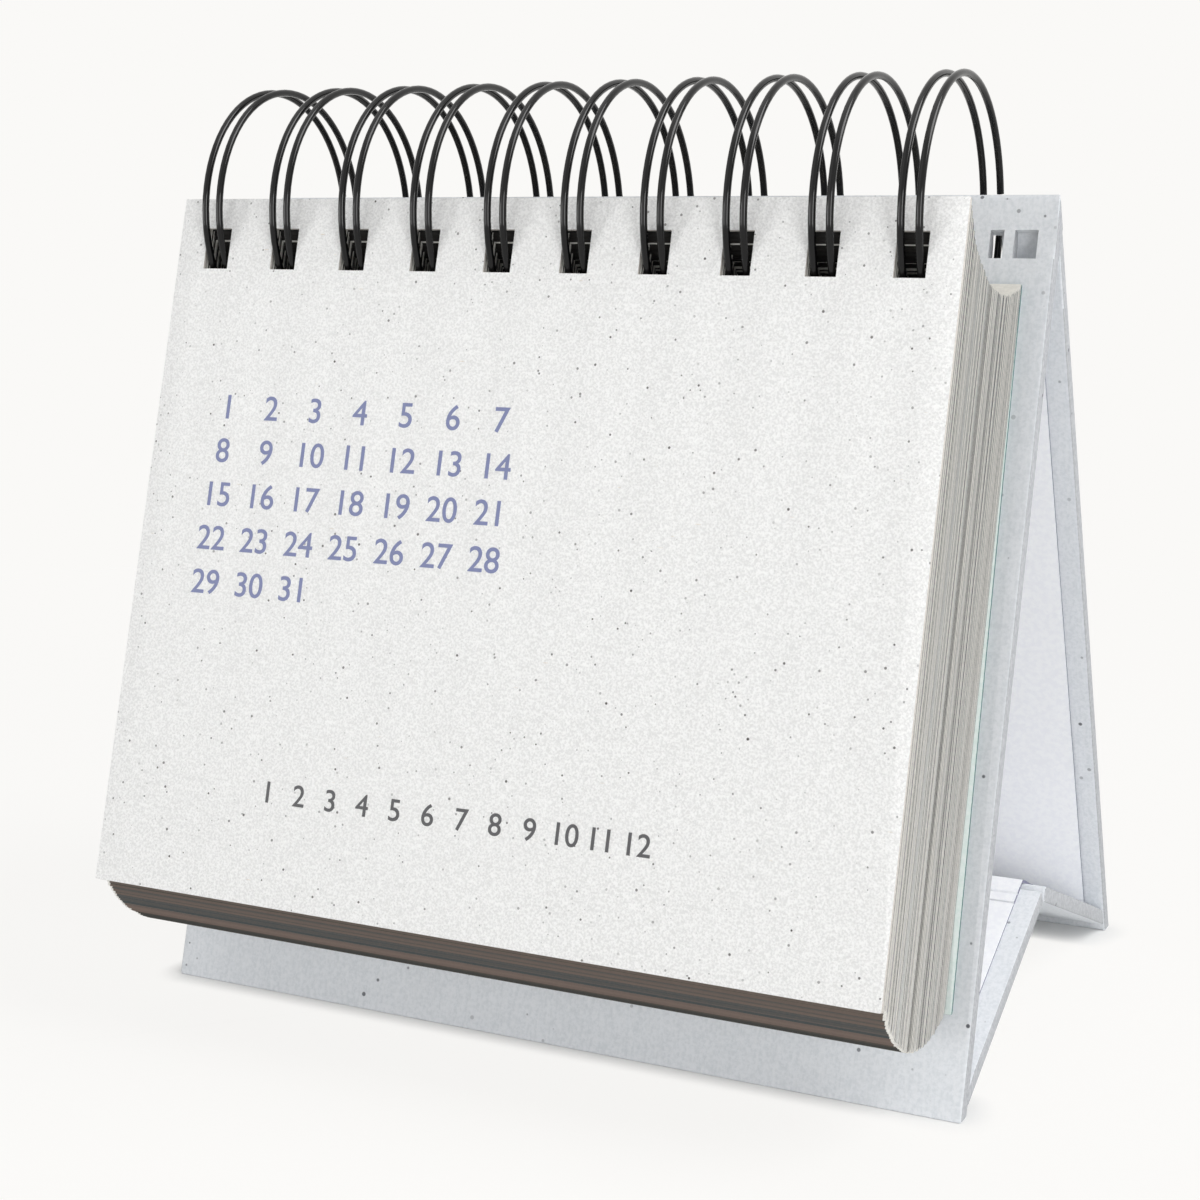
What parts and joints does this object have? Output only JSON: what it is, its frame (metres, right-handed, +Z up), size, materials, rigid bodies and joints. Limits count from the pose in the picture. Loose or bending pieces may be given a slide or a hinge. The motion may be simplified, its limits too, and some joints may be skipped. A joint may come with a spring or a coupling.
{
  "type": "perpetual desk calendar",
  "caption": "Desk calendar whose thick wire-bound block of leaves hangs on a folding card easel; leaves turn about the ring and the easel folds flat about its paper hinges.",
  "frame": {"origin": "on the table, under the middle of the calendar's box", "axes": "+Z up; the cover looks along -Y and slightly up; +X to the viewer's right"},
  "size_m": [0.1372, 0.1194, 0.1475],
  "materials": {
    "wrap": "matt speckled paper over board",
    "lining": "matt",
    "hinge_paper": "matt",
    "cover_card": "matt flecked",
    "leaf_paper": "matt",
    "mint_sheet": "matt",
    "wire": "gloss black coating"
  },
  "bodies": {
    "easel_front": {"front_board": "wrap", "front_lining": "lining", "binding_wire": "wire", "ridge_hinge_paper": "hinge_paper", "front_hinge_paper": "hinge_paper"},
    "easel_back": {"back_board": "wrap", "back_lining": "lining", "rear_hinge_paper": "hinge_paper"},
    "base_front": {"base_front_flap": "wrap", "base_front_lining": "lining", "crest_hinge_paper": "hinge_paper"},
    "base_rear": {"base_rear_flap": "wrap", "base_rear_lining": "lining"},
    "cover": {"front_cover": "cover_card"},
    "last_sheet": {"back_sheet": "mint_sheet"},
    "leaves_01": {"leaf_pack_01": "leaf_paper"},
    "leaves_02": {"leaf_pack_02": "leaf_paper"},
    "leaves_03": {"leaf_pack_03": "leaf_paper"},
    "leaves_04": {"leaf_pack_04": "leaf_paper"},
    "leaves_05": {"leaf_pack_05": "leaf_paper"},
    "leaves_06": {"leaf_pack_06": "leaf_paper"},
    "leaves_07": {"leaf_pack_07": "leaf_paper"},
    "leaves_08": {"leaf_pack_08": "leaf_paper"},
    "leaves_09": {"leaf_pack_09": "leaf_paper"},
    "leaves_10": {"leaf_pack_10": "leaf_paper"},
    "leaves_11": {"leaf_pack_11": "leaf_paper"},
    "leaves_12": {"leaf_pack_12": "leaf_paper"}
  },
  "joints": [
    {"name": "easel_fold", "type": "hinge", "parent": "easel_front", "child": "easel_back", "pos_m": [0, 0.00281, 0.12344], "axis": [1, 0, 0], "range_deg": [-28, 0], "deforming": ["ridge_hinge_paper"]},
    {"name": "base_front_fold", "type": "hinge", "parent": "easel_front", "child": "base_front", "pos_m": [0, -0.03077, 0.00397], "axis": [1, 0, 0], "range_deg": [0, 39.25], "deforming": ["front_hinge_paper"]},
    {"name": "base_rear_fold", "type": "hinge", "parent": "base_front", "child": "base_rear", "pos_m": [0, 0.0094, 0.0199], "axis": [1, 0, 0], "range_deg": [-117.65, 0], "deforming": ["crest_hinge_paper", "rear_hinge_paper"]},
    {"name": "leaves_01_turn", "type": "hinge", "parent": "easel_front", "child": "leaves_01", "pos_m": [0, -0.01333, 0.12707], "axis": [1, 0, 0], "range_deg": [-130.05, 0]},
    {"name": "cover_turn", "type": "hinge", "parent": "easel_front", "child": "cover", "pos_m": [0, -0.01333, 0.12707], "axis": [1, 0, 0], "range_deg": [-140.05, 0]},
    {"name": "leaves_02_turn", "type": "hinge", "parent": "easel_front", "child": "leaves_02", "pos_m": [0, -0.01333, 0.12707], "axis": [1, 0, 0], "range_deg": [-120.05, 0]},
    {"name": "leaves_03_turn", "type": "hinge", "parent": "easel_front", "child": "leaves_03", "pos_m": [0, -0.01333, 0.12707], "axis": [1, 0, 0], "range_deg": [-110.05, 0]},
    {"name": "leaves_04_turn", "type": "hinge", "parent": "easel_front", "child": "leaves_04", "pos_m": [0, -0.01333, 0.12707], "axis": [1, 0, 0], "range_deg": [-100.05, 0]},
    {"name": "leaves_05_turn", "type": "hinge", "parent": "easel_front", "child": "leaves_05", "pos_m": [0, -0.01333, 0.12707], "axis": [1, 0, 0], "range_deg": [-90.05, 0]},
    {"name": "leaves_06_turn", "type": "hinge", "parent": "easel_front", "child": "leaves_06", "pos_m": [0, -0.01333, 0.12707], "axis": [1, 0, 0], "range_deg": [-80.05, 0]},
    {"name": "leaves_07_turn", "type": "hinge", "parent": "easel_front", "child": "leaves_07", "pos_m": [0, -0.01333, 0.12707], "axis": [1, 0, 0], "range_deg": [-70.05, 0]},
    {"name": "leaves_08_turn", "type": "hinge", "parent": "easel_front", "child": "leaves_08", "pos_m": [0, -0.01333, 0.12707], "axis": [1, 0, 0], "range_deg": [-60.05, 0]},
    {"name": "leaves_09_turn", "type": "hinge", "parent": "easel_front", "child": "leaves_09", "pos_m": [0, -0.01333, 0.12707], "axis": [1, 0, 0], "range_deg": [-50.05, 0]},
    {"name": "leaves_10_turn", "type": "hinge", "parent": "easel_front", "child": "leaves_10", "pos_m": [0, -0.01333, 0.12707], "axis": [1, 0, 0], "range_deg": [-40.05, 0]},
    {"name": "leaves_11_turn", "type": "hinge", "parent": "easel_front", "child": "leaves_11", "pos_m": [0, -0.01333, 0.12707], "axis": [1, 0, 0], "range_deg": [-30.05, 0]},
    {"name": "leaves_12_turn", "type": "hinge", "parent": "easel_front", "child": "leaves_12", "pos_m": [0, -0.01333, 0.12707], "axis": [1, 0, 0], "range_deg": [-20.05, 0]},
    {"name": "last_sheet_turn", "type": "hinge", "parent": "easel_front", "child": "last_sheet", "pos_m": [0, -0.01333, 0.12707], "axis": [1, 0, 0], "range_deg": [-10.05, 0]}
  ],
  "couplings": [
    {"joint": "base_front_fold", "follows": "easel_fold", "ratio": -1.4},
    {"joint": "base_rear_fold", "follows": "easel_fold", "ratio": 4.2},
    {"joint": "cover_turn", "follows": "leaves_01_turn", "ratio": 1.0769},
    {"joint": "leaves_02_turn", "follows": "leaves_01_turn", "ratio": 0.92308},
    {"joint": "leaves_03_turn", "follows": "leaves_01_turn", "ratio": 0.84615},
    {"joint": "leaves_04_turn", "follows": "leaves_01_turn", "ratio": 0.76923},
    {"joint": "leaves_05_turn", "follows": "leaves_01_turn", "ratio": 0.69231},
    {"joint": "leaves_06_turn", "follows": "leaves_01_turn", "ratio": 0.61538},
    {"joint": "leaves_07_turn", "follows": "leaves_01_turn", "ratio": 0.53846},
    {"joint": "leaves_08_turn", "follows": "leaves_01_turn", "ratio": 0.46154},
    {"joint": "leaves_09_turn", "follows": "leaves_01_turn", "ratio": 0.38461},
    {"joint": "leaves_10_turn", "follows": "leaves_01_turn", "ratio": 0.30769},
    {"joint": "leaves_11_turn", "follows": "leaves_01_turn", "ratio": 0.23077},
    {"joint": "leaves_12_turn", "follows": "leaves_01_turn", "ratio": 0.15385},
    {"joint": "last_sheet_turn", "follows": "leaves_01_turn", "ratio": 0.076923}
  ]
}
